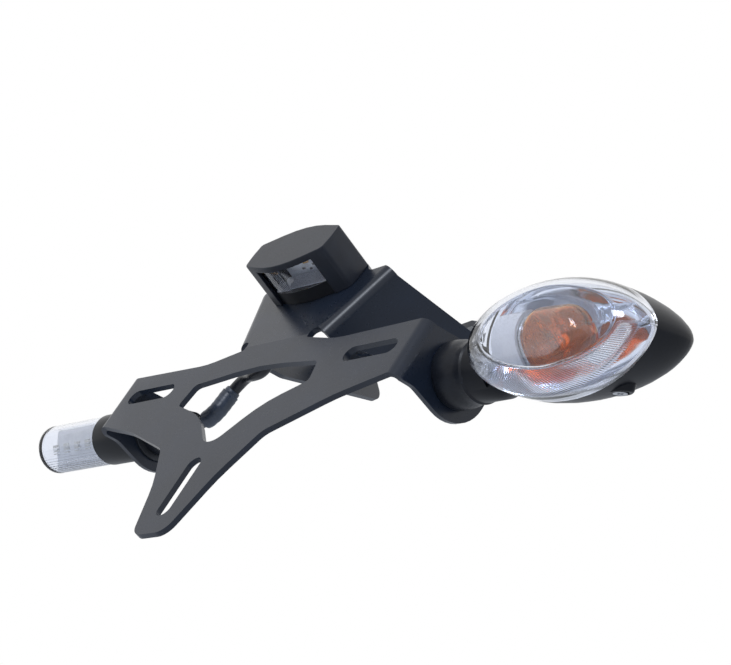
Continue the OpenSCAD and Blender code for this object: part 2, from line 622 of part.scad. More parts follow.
lead_path = [for (i = [0 : len(lead_corners) - 1])
    let (c = lead_corners[i])
    each (c[1] > 0 ? bend_points(lead_corners[i - 1][0], c[0], lead_corners[i + 1][0], c[1]) : [c[0]])];
sleeve_from = 3;
sleeve_to = 8;
lead_sides = 10;
lead_aside = [0.2, -1, 1];
function along(path, i) = unit(path[min(i + 1, len(path) - 1)] - path[max(i - 1, 0)]);
function ring_at(p, dir, r) =
    let (u = unit(cross(dir, lead_aside)), v = cross(dir, u))
    [for (j = [0 : lead_sides - 1]) p + r * (cos(360 * j / lead_sides) * u + sin(360 * j / lead_sides) * v)];
function lead_rings(path, from, to, r) = [for (i = [from : to]) ring_at(path[i], along(path, i), r)];
module sleeve(outer, inner) {
    n = len(outer[0]);
    a = len(outer);
    polyhedron(concat(flat(outer), flat(inner)),
        concat([for (i = [0 : a - 2]) each strip(n, n * i, n * (i + 1))],
               backwards([for (i = [0 : a - 2]) each strip(n, n * (a + i), n * (a + i + 1))]),
               backwards(strip(n, 0, n * a)), strip(n, n * (a - 1), n * (2 * a - 1))));
}
module left_lead() color([0.1, 0.11, 0.13]) in_plate()
    solid_loft(lead_rings(lead_path, 0, len(lead_path) - 1, lead_d / 2));
module left_lead_sleeve() color([0.25, 0.27, 0.31]) in_plate()
    sleeve(lead_rings(lead_path, sleeve_from, sleeve_to, sleeve_d / 2),
           lead_rings(lead_path, sleeve_from, sleeve_to, lead_d / 2));
lead_end = lead_path[len(lead_path) - 1];
connector_len = 17;
module left_lead_connector() color([0.15, 0.16, 0.18]) in_plate()
    translate(lead_end) rotate([-web_tilt, 0, 0]) rotate_extrude($fn = 48)
        polygon([[0, 0], [3, 0], [4.2, 2.5], [4.2, 9], [3.6, 9.6], [3.6, 14], [4.2, 14.6],
                 [4.2, connector_len - 0.6], [3.6, connector_len], [0, connector_len]]);

module left_lead_clip() color([0.12, 0.13, 0.15]) in_web() translate([clip_x, 0, clip_v]) difference() {
    union() {
        translate([0, clip_y, 0]) cylinder(d = clip_bore + 2 * clip_wall, h = clip_h, $fn = 64);
        translate([-clip_bore / 2 - clip_wall, sheet_t, 0])
            cube([clip_bore + 2 * clip_wall, clip_y - sheet_t, clip_h]);
    }
    translate([0, clip_y, -1]) cylinder(d = clip_bore, h = clip_h + 2, $fn = 64);
}

bracket();
lamp_housing();
lamp_base();
lamp_lens();
lamp_circuit_board();
lamp_leds();
lamp_washers();
lamp_screws();
right_indicator_stem();
right_indicator_housing();
right_indicator_lens();
right_indicator_reflector();
right_indicator_bulb_holder();
right_indicator_bulb();
right_indicator_lens_screw();
right_indicator_stud();
right_indicator_washer();
right_indicator_nut();
left_indicator_body();
left_indicator_lens();
left_indicator_reflector();
left_indicator_led_board();
left_indicator_leds();
left_indicator_stud();
left_indicator_washer();
left_indicator_nut();
left_indicator_boot();
left_lead();
left_lead_sleeve();
left_lead_connector();
left_lead_clip();
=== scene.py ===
import math
import bmesh
import bpy
import numpy as np
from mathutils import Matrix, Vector


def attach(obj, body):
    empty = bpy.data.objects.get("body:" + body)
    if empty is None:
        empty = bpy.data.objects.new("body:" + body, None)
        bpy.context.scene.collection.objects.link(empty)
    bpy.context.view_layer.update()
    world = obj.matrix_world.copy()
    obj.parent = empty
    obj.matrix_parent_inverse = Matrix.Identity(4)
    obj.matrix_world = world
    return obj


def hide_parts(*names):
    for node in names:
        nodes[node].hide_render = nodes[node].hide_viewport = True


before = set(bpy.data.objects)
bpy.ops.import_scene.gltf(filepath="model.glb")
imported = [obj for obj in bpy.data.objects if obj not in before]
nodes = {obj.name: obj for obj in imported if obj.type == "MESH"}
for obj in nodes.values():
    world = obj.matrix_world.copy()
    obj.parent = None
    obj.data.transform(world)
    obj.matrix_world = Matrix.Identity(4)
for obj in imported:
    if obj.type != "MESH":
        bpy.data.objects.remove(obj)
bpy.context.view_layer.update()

mm = 0.001
print("frame loaded:", len(nodes), "nodes")

# camera, solved from the plate's outline in the photo; metres and degrees
camera = {"place": (0.78286, -0.63827, -0.17739), "view": (-0.7321, 0.6544, 0.1893), "fov": 16.84, "seesTo": 20}
scene = bpy.context.scene
cam = bpy.data.cameras.new("camera")
cam.sensor_fit = "HORIZONTAL"
cam.angle = math.radians(camera["fov"])
cam.clip_end = camera["seesTo"]
camObject = bpy.data.objects.new("camera", cam)
camObject.location = camera["place"]
camObject.rotation_euler = Vector(camera["view"]).to_track_quat("-Z", "Y").to_euler()
scene.collection.objects.link(camObject)
scene.camera = camObject
print("camera set")


# where the solids stand, degrees and mm: leaning plate, lamp on its web, right pod, left indicator
stand = {"plateLean": 37.5, "lampLean": 41.5, "lampLift": 36.0, "lampPlace": (0, 11.571, 15.046),
         "podLean": 5.0, "earHole": (97, 21.835, -11.461)}


def lean(points, degrees, origin):  # y and z turned about X, top forward, then moved to an origin
    c, s = math.cos(math.radians(degrees)), math.sin(math.radians(degrees))
    x, y, z = points[..., 0], points[..., 1], points[..., 2]
    return np.stack([x, y * c + z * s, z * c - y * s], axis=-1) + origin


def plateFrame(points):
    return lean(points, stand["plateLean"], (0, 0, 0))


def lampFrame(points):
    return lean(points + np.array([0, 0, stand["lampLift"]]), stand["lampLean"], stand["lampPlace"])


def podFrame(points):
    return lean(points, stand["podLean"], stand["earHole"])


def slimFrame(points):  # at the left ear, so X is mirrored
    mirror = np.array([-1.0, 1.0, 1.0])
    return points * mirror + np.array(stand["earHole"]) * mirror


def smoothStep(value, low, high):  # 0 below low, 1 above high, an even S between
    t = np.clip((value - low) / (high - low), 0, 1)
    return t * t * (3 - 2 * t)


# mesh making; merging distances in metres, flatness in degrees
meshing = {"mergeNew": 1e-7, "mergeSolid": 1e-6, "flatWithin": 0.6}


def quads(rows, columns):  # faces between each ring of points and the next, every ring closed on itself
    i = np.arange(rows - 1)[:, None]
    j = np.arange(columns)[None, :]
    k = (j + 1) % columns
    return np.stack(np.broadcast_arrays(i * columns + j, i * columns + k,
                                        (i + 1) * columns + k, (i + 1) * columns + j), axis=-1).reshape(-1, 4)


def addPiece(name, points, faces, mat, replaced=(), sharp=40):  # a new piece from points in mm and faces
    mesh = bpy.data.meshes.new(name)
    mesh.from_pydata((np.asarray(points).reshape(-1, 3) * mm).tolist(), [], faces)
    piece = bpy.data.objects.new(name, mesh)
    scene.collection.objects.link(piece)
    return finishPiece(piece, mat, replaced, sharp, True)


def finishPiece(piece, mat, replaced, sharp, turnOut):  # clean, shade, paint and tie a piece to the frame
    work = bmesh.new()
    work.from_mesh(piece.data)
    bmesh.ops.remove_doubles(work, verts=work.verts, dist=meshing["mergeNew"])
    if turnOut:
        bmesh.ops.recalc_face_normals(work, faces=work.faces)
    for edge in work.edges:
        edge.smooth = len(edge.link_faces) == 2 and edge.calc_face_angle(0) < math.radians(sharp)
    for face in work.faces:
        face.smooth = True
    work.to_mesh(piece.data)
    work.free()
    piece.data.materials.clear()
    piece.data.materials.append(mat)
    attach(piece, "root")
    if replaced:
        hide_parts(*replaced)
    return piece


def closedLoft(name, rings, mat, replaced=(), sharp=40):  # rings joined in turn, each end closed to its middle
    rows, columns = rings.shape[:2]
    ends = np.stack([rings[0].mean(axis=0), rings[-1].mean(axis=0)])
    k = np.arange(columns)
    first = np.stack([np.full(columns, rows * columns), (k + 1) % columns, k], axis=-1)
    last = np.stack([np.full(columns, rows * columns + 1), (rows - 1) * columns + k,
                     (rows - 1) * columns + (k + 1) % columns], axis=-1)
    points = np.concatenate([rings.reshape(-1, 3), ends])
    faces = quads(rows, columns).tolist() + first.tolist() + last.tolist()
    return addPiece(name, points, faces, mat, replaced, sharp)


def loopLoft(name, rings, mat, replaced=(), sharp=40):  # rings joined in turn, the last one to the first
    rows, columns = rings.shape[:2]
    looped = quads(rows + 1, columns) % (rows * columns)
    return addPiece(name, rings, looped.tolist(), mat, replaced, sharp)


def edged(node, mat, width, steps=2, sharp=32):  # copy of a CAD node with its edges broken, as on the real part
    piece = nodes[node].copy()
    piece.data = nodes[node].data.copy()
    piece.name = node + ".edged"
    piece.parent = None
    for key in list(piece.keys()):  # the properties copied with it belong to the CAD object
        del piece[key]
    scene.collection.objects.link(piece)
    work = bmesh.new()
    work.from_mesh(piece.data)
    bmesh.ops.remove_doubles(work, verts=work.verts, dist=meshing["mergeSolid"])
    bmesh.ops.dissolve_limit(work, angle_limit=math.radians(meshing["flatWithin"]), verts=work.verts,
                             edges=work.edges)
    work.to_mesh(piece.data)
    work.free()
    if width:
        bevel = piece.modifiers.new("edge", "BEVEL")
        bevel.width = width * mm
        bevel.segments = steps
        bevel.limit_method = "ANGLE"
        bevel.angle_limit = math.radians(sharp)
        bevel.harden_normals = True
    return finishPiece(piece, mat, (node,), sharp, False)


# colours, nodes and finishes

def colour(hexCode):  # sRGB hex to linear
    srgb = [int(hexCode[i:i + 2], 16) / 255 for i in (1, 3, 5)]
    return [c / 12.92 if c <= 0.04045 else ((c + 0.055) / 1.055) ** 2.4 for c in srgb] + [1.0]


def addNode(tree, kind, links=None, **settings):  # a node with its properties, input values and links
    node = tree.nodes.new(kind)
    for key, value in settings.items():
        setattr(node, key, value)
    for key, value in (links or {}).items():
        if isinstance(value, bpy.types.NodeSocket):
            tree.links.new(value, node.inputs[key])
        else:
            node.inputs[key].default_value = value
    return node


def newMaterial(name, base, roughness, metallic=0.0, ior=1.5, specular=0.5):  # even values on the shader's sockets
    mat = bpy.data.materials.new(name)
    mat.use_nodes = True
    shader = mat.node_tree.nodes["Principled BSDF"]
    shader.inputs["Base Color"].default_value = colour(base)
    shader.inputs["Roughness"].default_value = roughness
    shader.inputs["Metallic"].default_value = metallic
    shader.inputs["IOR"].default_value = ior
    shader.inputs["Specular IOR Level"].default_value = specular
    mat.diffuse_color = colour(base)
    return mat, mat.node_tree, shader


# two tones mixed by a value that runs from low to high, into the base colour
def blendTones(tree, shader, value, low, high, first, second):
    share = addNode(tree, "ShaderNodeMapRange", {"Value": value, "From Min": low, "From Max": high})
    tone = addNode(tree, "ShaderNodeMix", {0: share.outputs["Result"], 6: colour(first), 7: colour(second)},
                   data_type="RGBA")
    tree.links.new(tone.outputs[2], shader.inputs["Base Color"])


# the part of a noise's range that a finish is stretched over, from its lowest to its highest value
spread = {"grain": (0.3, 0.7), "patches": (0.35, 0.65), "patchDetail": 2.0}


# noise of one size in mm on Object coordinates: bump of a depth in mm, roughness from low to high
def grain(tree, shader, size, depth, low, high, detail=3.0):
    place = addNode(tree, "ShaderNodeTexCoord").outputs["Object"]
    noise = addNode(tree, "ShaderNodeTexNoise", {"Vector": place, "Scale": 1000 / size, "Detail": detail})
    bump = addNode(tree, "ShaderNodeBump", {"Height": noise.outputs["Fac"], "Distance": depth * mm})
    tree.links.new(bump.outputs["Normal"], shader.inputs["Normal"])
    rough = addNode(tree, "ShaderNodeMapRange", {"Value": noise.outputs["Fac"], "From Min": spread["grain"][0],
                                                 "From Max": spread["grain"][1], "To Min": low, "To Max": high})
    tree.links.new(rough.outputs["Result"], shader.inputs["Roughness"])
    return place


# base colour that drifts between two close tones over patches of a size in mm
def mottle(tree, shader, place, size, light, dark):
    patches = addNode(tree, "ShaderNodeTexNoise", {"Vector": place, "Scale": 1000 / size,
                                                   "Detail": spread["patchDetail"]})
    blendTones(tree, shader, patches.outputs["Fac"], *spread["patches"], dark, light)


# one recipe for an opaque finish: surface grain of a grit and depth, roughness range, tone that drifts; mm
def makeFinish(name, light, dark, grit, depth, rough, drift=9, metallic=0.0, detail=3.0, specular=0.5):
    mat, tree, shader = newMaterial(name, light, rough[0], metallic, specular=specular)
    place = grain(tree, shader, grit, depth, *rough, detail=detail)
    mottle(tree, shader, place, drift, light, dark)
    return mat


# polyester powder coat on steel sheet, sprayed and baked: blue-black satin with a faint orange peel,
# pale only where it mirrors the room at a low angle
powderCoat = makeFinish("powder_coat", "#1a2230", "#171e2a", 1.6, 0.0012, (0.27, 0.31), drift=22, specular=0.32)
# glass-filled nylon from a spark-eroded mould: even satin without depth, the second one nearer to black
nylonCase = makeFinish("nylon_case", "#1c212b", "#181c25", 0.5, 0.006, (0.36, 0.44), specular=0.3)
blackNylon = makeFinish("black_nylon", "#0f1218", "#0b0d12", 0.6, 0.008, (0.32, 0.42), specular=0.3)
# ABS from a polished mould: smoother and glossier than the nylon
podAbs = makeFinish("pod_abs", "#10131a", "#0c0f15", 0.7, 0.004, (0.28, 0.34), specular=0.16)
# aluminium, turned, blasted with beads and anodised black: soft sheen
bodyAnodised = makeFinish("body_anodised", "#10141b", "#0c0f15", 0.35, 0.005, (0.28, 0.36), specular=0.3)
# zinc-plated steel: bright, with fine rolling marks
zincSteel = makeFinish("zinc_steel", "#b9bcc2", "#a3a6ad", 0.35, 0.004, (0.22, 0.34), drift=4, metallic=1.0,
                       detail=6.0)
# steel blacked in a hot salt bath: the same marks, dark and half dull
blackSteel = makeFinish("blacked_steel", "#33363c", "#26292e", 0.35, 0.004, (0.35, 0.50), drift=4, metallic=0.6,
                        detail=6.0)
# moulded nitrile rubber: dull with a faint bloom
stemRubber = makeFinish("stem_rubber", "#141820", "#10131a", 0.6, 0.010, (0.34, 0.44), drift=6, specular=0.22)
# extruded vinyl jacket and heat-shrunk sleeve: slightly waxy, the sleeve bluer and paler
leadVinyl = makeFinish("lead_vinyl", "#12161d", "#0e1118", 0.8, 0.008, (0.30, 0.42), drift=6, specular=0.35)
heatShrink = makeFinish("heat_shrink", "#333d4d", "#2a3340", 1.6, 0.008, (0.34, 0.42), drift=5)
# white ABS from a polished mould: clean, with a soft gloss
whiteAbs = makeFinish("white_abs", "#f0f2f8", "#e6e9f1", 0.8, 0.004, (0.24, 0.32))
# printed circuit board: white solder mask over glass weave
boardMask = makeFinish("solder_mask", "#e6e9ec", "#d8dbe0", 0.4, 0.004, (0.32, 0.42), drift=3)
# fired ceramic of small chip parts: dull and dark
chipCeramic = makeFinish("chip_ceramic", "#3a3c42", "#26282d", 0.3, 0.004, (0.4, 0.5), drift=1)

# clear finishes: faint waves in the wall, size and depth in mm, bend what shows through
clearWaves = {"size": 14, "depth": 0.02, "detail": 1.0}


def makeClear(name, tint, rough, ior=1.58):
    mat, tree, shader = newMaterial(name, tint, rough, ior=ior)
    shader.inputs["Transmission Weight"].default_value = 1.0
    place = addNode(tree, "ShaderNodeTexCoord").outputs["Object"]
    waves = addNode(tree, "ShaderNodeTexNoise", {"Vector": place, "Scale": 1000 / clearWaves["size"],
                                                 "Detail": clearWaves["detail"]})
    bump = addNode(tree, "ShaderNodeBump", {"Height": waves.outputs["Fac"], "Distance": clearWaves["depth"] * mm})
    tree.links.new(bump.outputs["Normal"], shader.inputs["Normal"])
    return mat


# moulded polycarbonate: water-clear, hard gloss, a trace of haze
clearLens = makeClear("clear_polycarbonate", "#f3f6fd", 0.02)
# blown glass lacquered amber: pale where one wall is seen, deep orange through both
amberGlass = makeClear("amber_glass", "#ffa538", 0.04, 1.5)


# vacuum-metallised plastic: mirror with a slight softness and cool tone
def makeReflector():
    mat, tree, shader = newMaterial("metallised_plastic", "#f2f5fb", 0.12, metallic=1.0)
    place = grain(tree, shader, size=3.0, depth=0.01, low=0.06, high=0.14, detail=2.0)
    mottle(tree, shader, place, size=12, light="#f4f7fd", dark="#e6ebf4")
    return mat


metallised = makeReflector()

# phosphor cast in silicone over a light-emitting chip: matt, with grains of half a millimetre
diodeFace = {"rough": 0.25, "grain": 0.5, "grainEdge": 0.6}


def makeDiode(name, phosphor, grains):
    mat, tree, shader = newMaterial(name, phosphor, diodeFace["rough"])
    place = addNode(tree, "ShaderNodeTexCoord").outputs["Object"]
    spots = addNode(tree, "ShaderNodeTexVoronoi", {"Vector": place, "Scale": 1000 / diodeFace["grain"]})
    blendTones(tree, shader, spots.outputs["Distance"], 0.0, diodeFace["grainEdge"], phosphor, grains)
    return mat


yellowDiode = makeDiode("yellow_phosphor", "#f6b81c", "#e09c12")
paleDiode = makeDiode("pale_phosphor", "#e2e4e6", "#c9c9c4")
print("materials made")


# lead of the left indicator: straight runs between corners, each rounded by its radius; plate frame, mm
lead = {"diameter": 5.4, "sides": 28, "rings": 110,
        "corners": [((-87, 24.3, 4.2), 0), ((-58, 24.3, 4.2), 10.8), ((-51.8, 22.9, 29.5), 10.8),
                    ((-34, 17.2, 21.6), 14), ((-17, 15, 20.3), 10.8),
                    ((-20.5, 8.4505, 36.3309), 10.8), ((-20.5, 9.2045, 47.1078), 0)]}
# its sleeve, in two layers: the inner one stands out of the outer one at the top, and both ends are rolled in,
# each roll given by its depth and by the length over which it fades; from and to are distances along the lead
sleeve = {"from": 25.5, "to": 44.5, "rings": 60, "outerLayer": 8.0, "innerLayer": 6.9, "standsOut": 2,
          "rollTop": (0.35, 0.25), "rollEnd": (0.4, 0.3), "wave": 0.05, "waveRate": 2.1}


def unit(v):
    return v / np.linalg.norm(v)


def leadRoute(corners, step=4.0):  # each corner becomes an arc that touches both runs; arcs cut in steps of degrees
    places = [np.array(c[0], float) for c in corners]
    route = [places[0][None]]
    for i in range(1, len(corners) - 1):
        a, b = unit(places[i - 1] - places[i]), unit(places[i + 1] - places[i])
        half = math.acos(float(a @ b)) / 2
        radius = corners[i][1]
        centre = places[i] + unit(a + b) * radius / math.sin(half)
        out = unit(places[i] + a * radius / math.tan(half) - centre)
        t = np.linspace(0, math.pi - 2 * half, max(3, int((180 - 2 * math.degrees(half)) / step)))[:, None]
        route.append(centre + radius * (np.cos(t) * out - np.sin(t) * a))
    return np.concatenate(route + [places[-1][None]])


# circles square to the route, one radius for each point; aside is a direction that the route never takes
def tubeRings(route, radii, sides, aside=(0.2, -1, 1)):
    along = np.gradient(route, axis=0)
    along /= np.linalg.norm(along, axis=1, keepdims=True)
    u = np.cross(along, np.array(aside, float))
    u /= np.linalg.norm(u, axis=1, keepdims=True)
    v = np.cross(along, u)
    t = np.linspace(0, 2 * math.pi, sides, endpoint=False)[None, :, None]
    return route[:, None] + np.asarray(radii)[:, None, None] * (np.cos(t) * u[:, None] + np.sin(t) * v[:, None])


def evenRoute(route, start, end, count):  # points at even distances along a route, between two distances
    run = np.concatenate([[0], np.cumsum(np.linalg.norm(np.diff(route, axis=0), axis=1))])
    at = np.linspace(start, min(end, run[-1]), count)
    return np.stack([np.interp(at, run, route[:, k]) for k in range(3)], axis=-1), at


def sleeveRadius(at):  # the layer's radius, less a roll that fades out from each end, with a slight wave
    fromTop = sleeve["to"] - at
    layer = np.where(fromTop < sleeve["standsOut"], sleeve["innerLayer"] / 2, sleeve["outerLayer"] / 2)
    top = sleeve["rollTop"][0] * np.exp(-fromTop / sleeve["rollTop"][1])
    end = sleeve["rollEnd"][0] * np.exp(-(at - sleeve["from"]) / sleeve["rollEnd"][1])
    return layer - top - end + sleeve["wave"] * np.sin(at * sleeve["waveRate"])


leadLine = leadRoute(lead["corners"])
leadLength = float(np.linalg.norm(np.diff(leadLine, axis=0), axis=1).sum())
smoothLine, _ = evenRoute(leadLine, 0, leadLength, lead["rings"])
leadRings = tubeRings(smoothLine, np.full(lead["rings"], lead["diameter"] / 2), lead["sides"])
leadPiece = closedLoft("leadCable", plateFrame(leadRings), leadVinyl, ("left_lead",))
sleeveLine, sleeveAt = evenRoute(leadLine, sleeve["from"], sleeve["to"], sleeve["rings"])
bore = tubeRings(sleeveLine, np.full(sleeve["rings"], lead["diameter"] / 2), lead["sides"])
outside = tubeRings(sleeveLine, sleeveRadius(sleeveAt), lead["sides"])
sleevePiece = loopLoft("leadSleeve", plateFrame(np.concatenate([outside, bore[::-1]])), heatShrink,
                       ("left_lead_sleeve",))
print("lead made, mm:", round(leadLength, 1))


# folded bracket, lamp and small parts: the solids with broken edges, finish and edge width in mm
edgeWidths = {"bracket": (powderCoat, 0.45), "lamp_housing": (nylonCase, 0.4), "lamp_base": (blackNylon, 0.2),
              "lamp_washers": (zincSteel, 0.08), "lamp_screws": (zincSteel, 0.15),
              "right_indicator_stem": (stemRubber, 0), "right_indicator_housing": (podAbs, 0),
              "right_indicator_bulb_holder": (whiteAbs, 0), "right_indicator_lens_screw": (zincSteel, 0.1),
              "right_indicator_stud": (zincSteel, 0.2), "right_indicator_washer": (blackSteel, 0.2),
              "right_indicator_nut": (zincSteel, 0.15), "left_indicator_body": (bodyAnodised, 0),
              "left_indicator_reflector": (whiteAbs, 0), "left_indicator_stud": (zincSteel, 0.2),
              "left_indicator_washer": (blackSteel, 0.2), "left_indicator_nut": (zincSteel, 0.15),
              "left_indicator_boot": (stemRubber, 0), "left_lead_connector": (blackNylon, 0),
              "left_lead_clip": (blackNylon, 0.2), "lamp_circuit_board": (boardMask, 0.1),
              "left_indicator_led_board": (boardMask, 0.1), "lamp_leds": (yellowDiode, 0.1),
              "left_indicator_leds": (paleDiode, 0.1)}
for node, (mat, width) in edgeWidths.items():
    edged(node, mat, width)
print("edged pieces made")

# lens of the lamp: a wall in a U that follows the bowed front, with upright ribs inside its left part;
# lamp frame, mm
lampLens = {"half": 17.3, "back": 3.8, "low": -6.5, "high": -18.8, "wall": 1.4, "bow": 45.0, "front": -11.3,
            "arcTo": 14.3, "slope": 0.334, "ribStep": 1.25, "ribDepth": 0.22, "ribsRise": (3, 6), "points": 260}


def lampFront(x):  # depth of the front at x: an arc about the middle, straight beyond it
    bow, onArc = lampLens["bow"], np.minimum(np.abs(x), lampLens["arcTo"])
    arc = lampLens["front"] + bow - np.sqrt(bow ** 2 - onArc ** 2)
    return arc + lampLens["slope"] * np.maximum(np.abs(x) - lampLens["arcTo"], 0)


def lampWall():  # outer line and inner line of the U, the inner one drawn in by the wall and a cosine of ribs
    half, wall, back = lampLens["half"], lampLens["wall"], lampLens["back"]
    x = np.linspace(-half, half, lampLens["points"])
    ribs = lampLens["ribDepth"] * (0.5 + 0.5 * np.cos(2 * math.pi * x / lampLens["ribStep"]))
    ribs = ribs * smoothStep(-x, *lampLens["ribsRise"])
    outLine = np.stack([x, lampFront(x)], axis=-1)
    inX = x * (half - wall) / half
    inLine = np.stack([inX, lampFront(inX) + wall + ribs], axis=-1)
    outLine = np.concatenate([[[-half, back]], outLine, [[half, back]]])
    inLine = np.concatenate([[[wall - half, back]], inLine, [[half - wall, back]]])
    rings = [np.stack([line[:, 0], np.full(len(line), y), line[:, 1]], axis=-1)
             for line, y in [(outLine, lampLens["low"]), (outLine, lampLens["high"]),
                             (inLine, lampLens["high"]), (inLine, lampLens["low"])]]
    return np.stack(rings, axis=1)


closedLoft("lampLens", lampFrame(lampWall()), clearLens, ("lamp_lens",), sharp=60)


def addBoxes(name, middles, sizes, mat, frameOf):  # boxes: each middle plus a unit box times its size
    unitBox = np.array([[x, y, z] for z in (-0.5, 0.5) for y in (-0.5, 0.5) for x in (-0.5, 0.5)])
    sides = np.array([[0, 2, 3, 1], [4, 5, 7, 6], [0, 1, 5, 4], [2, 6, 7, 3], [0, 4, 6, 2], [1, 3, 7, 5]])
    middles, sizes = np.asarray(middles, float), np.asarray(sizes, float)
    points = middles[:, None] + unitBox[None] * sizes[:, None]
    faces = (np.arange(len(middles))[:, None, None] * 8 + sides[None]).reshape(-1, 4)
    return addPiece(name, frameOf(points), faces.tolist(), mat, sharp=30)


# chip resistors that stand on the lamp's board, and the pale tray under it
lampParts = {"face": 2.2, "chip": (1.6, 0.8, 0.5), "tray": ((0, -6.75, -3.0), (31.4, 0.4, 9.6)),
             "places": [(-6.0, -12.2), (-4.0, -9.4), (3.6, -10.6), (5.8, -12.6), (7.8, -9.6), (9.8, -11.2),
                        (0.2, -8.6)]}
chipMiddle = lampParts["face"] - lampParts["chip"][2] / 2
addBoxes("lampChips", [(x, y, chipMiddle) for x, y in lampParts["places"]],
         [lampParts["chip"]] * len(lampParts["places"]), chipCeramic, lampFrame)
addBoxes("lampTray", [lampParts["tray"][0]], [lampParts["tray"][1]], whiteAbs, lampFrame)
print("lamp made")


# pod of the right indicator: a leaf outline drawn in to nothing before and behind its joint; pod frame, mm
pod = {"length": 84, "height": 45, "x": 70, "y": -8, "z": 2.6, "point": 1.22, "lensDepth": 21, "lensRound": 2.8,
       "lensShift": -9, "wall": 2.0, "housingDepth": 26, "tipShift": 28, "tipBlunt": 0.72}


# a leaf at a depth y: half length times the cosine, half height times the sine, less an inset;
# on the outer half the sine is raised to a power, which draws that end to a point
def podRings(angle, y, size, shift, inset):
    c, s = np.cos(angle), np.sin(angle)
    x = pod["x"] + shift + (size * pod["length"] / 2 - inset) * c
    z = pod["z"] + (size * pod["height"] / 2 - inset) * np.sign(s) * np.abs(s) ** np.where(c > 0, pod["point"], 1.0)
    return np.stack(np.broadcast_arrays(x, pod["y"] + y + 0 * x, z), axis=-1)


# lens: the leaf drawn in to its pole. Inside stands a domed leaf-shaped boss that magnifies the bulb,
# with a step at its border, and flutes square to the rim between boss and rim on the lower side.
# The band of flutes fades between two values each of the boss's leaf, the ring's size and the way down
lens = {"rowsInside": 70, "rowsOutside": 34, "columns": 880, "pole": 0.9985, "thinning": 0.4,
        "flutes": 176, "fluteDepth": 0.30, "leafStep": 0.5, "stepOver": 0.07, "boss": 4.4,
        "leafMiddle": (72, 4.0), "leafHalf": (31, 15), "leafPowers": (1.7, 2), "bandBoss": (-0.12, -0.02),
        "bandRim": (0.95, 0.99), "bandPole": (0.3, 0.5), "bandBelow": (-0.05, 0.25)}


# with s the sine of the way to the pole, depth grows with s and size falls as 1 less a power of s, rooted alike;
# the boss is 1 less a power of the distance from its middle each way, the flutes a cosine of the angle
def lensSurface(rows, angle, wall, fluted):
    s = np.sin(np.linspace(0, math.pi / 2, rows))[:, None] * lens["pole"]
    size = (1 - s ** pod["lensRound"]) ** (1 / pod["lensRound"])
    shift = pod["lensShift"] * s * s
    inset = wall * (1 - lens["thinning"] * s)
    forward = 0 * s
    if fluted:
        flat = podRings(angle, 0 * s, size, shift, inset)
        u = np.abs(flat[..., 0] - lens["leafMiddle"][0]) / lens["leafHalf"][0]
        v = np.abs(flat[..., 2] - lens["leafMiddle"][1]) / lens["leafHalf"][1]
        leaf = 1 - u ** lens["leafPowers"][0] - v ** lens["leafPowers"][1]
        forward = lens["leafStep"] * smoothStep(leaf, 0, lens["stepOver"]) + lens["boss"] * np.clip(leaf, 0, 1)
        band = (1 - smoothStep(leaf, *lens["bandBoss"])) * (1 - smoothStep(size, *lens["bandRim"]))
        band = band * smoothStep(size, *lens["bandPole"])
        band = band * smoothStep(-np.sin(angle), *lens["bandBelow"])
        inset = inset + band * lens["fluteDepth"] * (1 + np.cos(lens["flutes"] * angle))
    return podRings(angle, -(pod["lensDepth"] - inset - forward) * s, size, shift, inset)


around = np.linspace(0, 2 * math.pi, lens["columns"], endpoint=False)[None, :]
outerLens = lensSurface(lens["rowsOutside"], around, 0.0, False)
innerLens = lensSurface(lens["rowsInside"], around, pod["wall"], True)
closedLoft("podLens", podFrame(np.concatenate([innerLens[::-1], outerLens])), clearLens,
           ("right_indicator_lens",), sharp=70)

# reflector: bowl that follows the housing, with two long steps forward across its upper half
reflector = {"rows": 56, "columns": 480, "from": 0.6, "depth": 18.5, "turn": 86.5, "closing": 0.6, "wall": 1.2,
             "gap": 0.5, "thinning": 0.6, "step": 3.6, "stepAt": (6.0, 12.0), "stepOver": 0.6,
             "stepRise": (0.15, 0.7)}


# depth follows the sine of a turn towards the pole, size the housing's own taper times a power of its cosine;
# above each step's level the points move forward by a smooth S
def reflectorSurface(inset):
    t = np.linspace(0, math.radians(reflector["turn"]), reflector["rows"])[:, None]
    angle = np.linspace(0, 2 * math.pi, reflector["columns"], endpoint=False)[None, :]
    y = reflector["from"] + (reflector["depth"] - inset) * np.sin(t)
    a = np.arcsin(y / pod["housingDepth"])
    size = np.cos(a) ** pod["tipBlunt"] * np.cos(t) ** reflector["closing"]
    points = podRings(angle, y, size, pod["tipShift"] * (1 - np.cos(a)),
                      (pod["wall"] + reflector["gap"] + inset) * (1 - reflector["thinning"] * np.sin(t)))
    height = points[..., 2] - pod["z"]
    for level in reflector["stepAt"]:
        forward = smoothStep(height, level, level + reflector["stepOver"]) * smoothStep(t, *reflector["stepRise"])
        points[..., 1] -= reflector["step"] * forward
    return points


bowl = np.concatenate([reflectorSurface(0.0)[::-1], reflectorSurface(reflector["wall"])])
closedLoft("podReflector", podFrame(bowl), metallised, ("right_indicator_reflector",), sharp=50)

# seat of the lens screw: a low oval collar with sloping sides, drawn round as (radius, height) points
seat = {"middle": (87, 1.0), "long": 1.45, "bore": 3.1, "sides": 72,
        "profile": [(4.6, -14.8), (4.1, -17.2), (3.7, -17.75), (3.15, -17.75), (3.0, -17.2), (3.0, -14.8)]}


def screwSeat():  # the profile turned about the screw, stretched along the pod outside its bore
    turn = np.linspace(0, 2 * math.pi, seat["sides"], endpoint=False)[:, None]
    radius, height = np.array(seat["profile"]).T
    stretch = np.where(radius > seat["bore"], seat["long"], 1.0)
    x = seat["middle"][0] + radius * stretch * np.cos(turn)
    y = seat["middle"][1] + radius * np.sin(turn)
    return np.stack(np.broadcast_arrays(x, y, height + 0 * x), axis=-1)


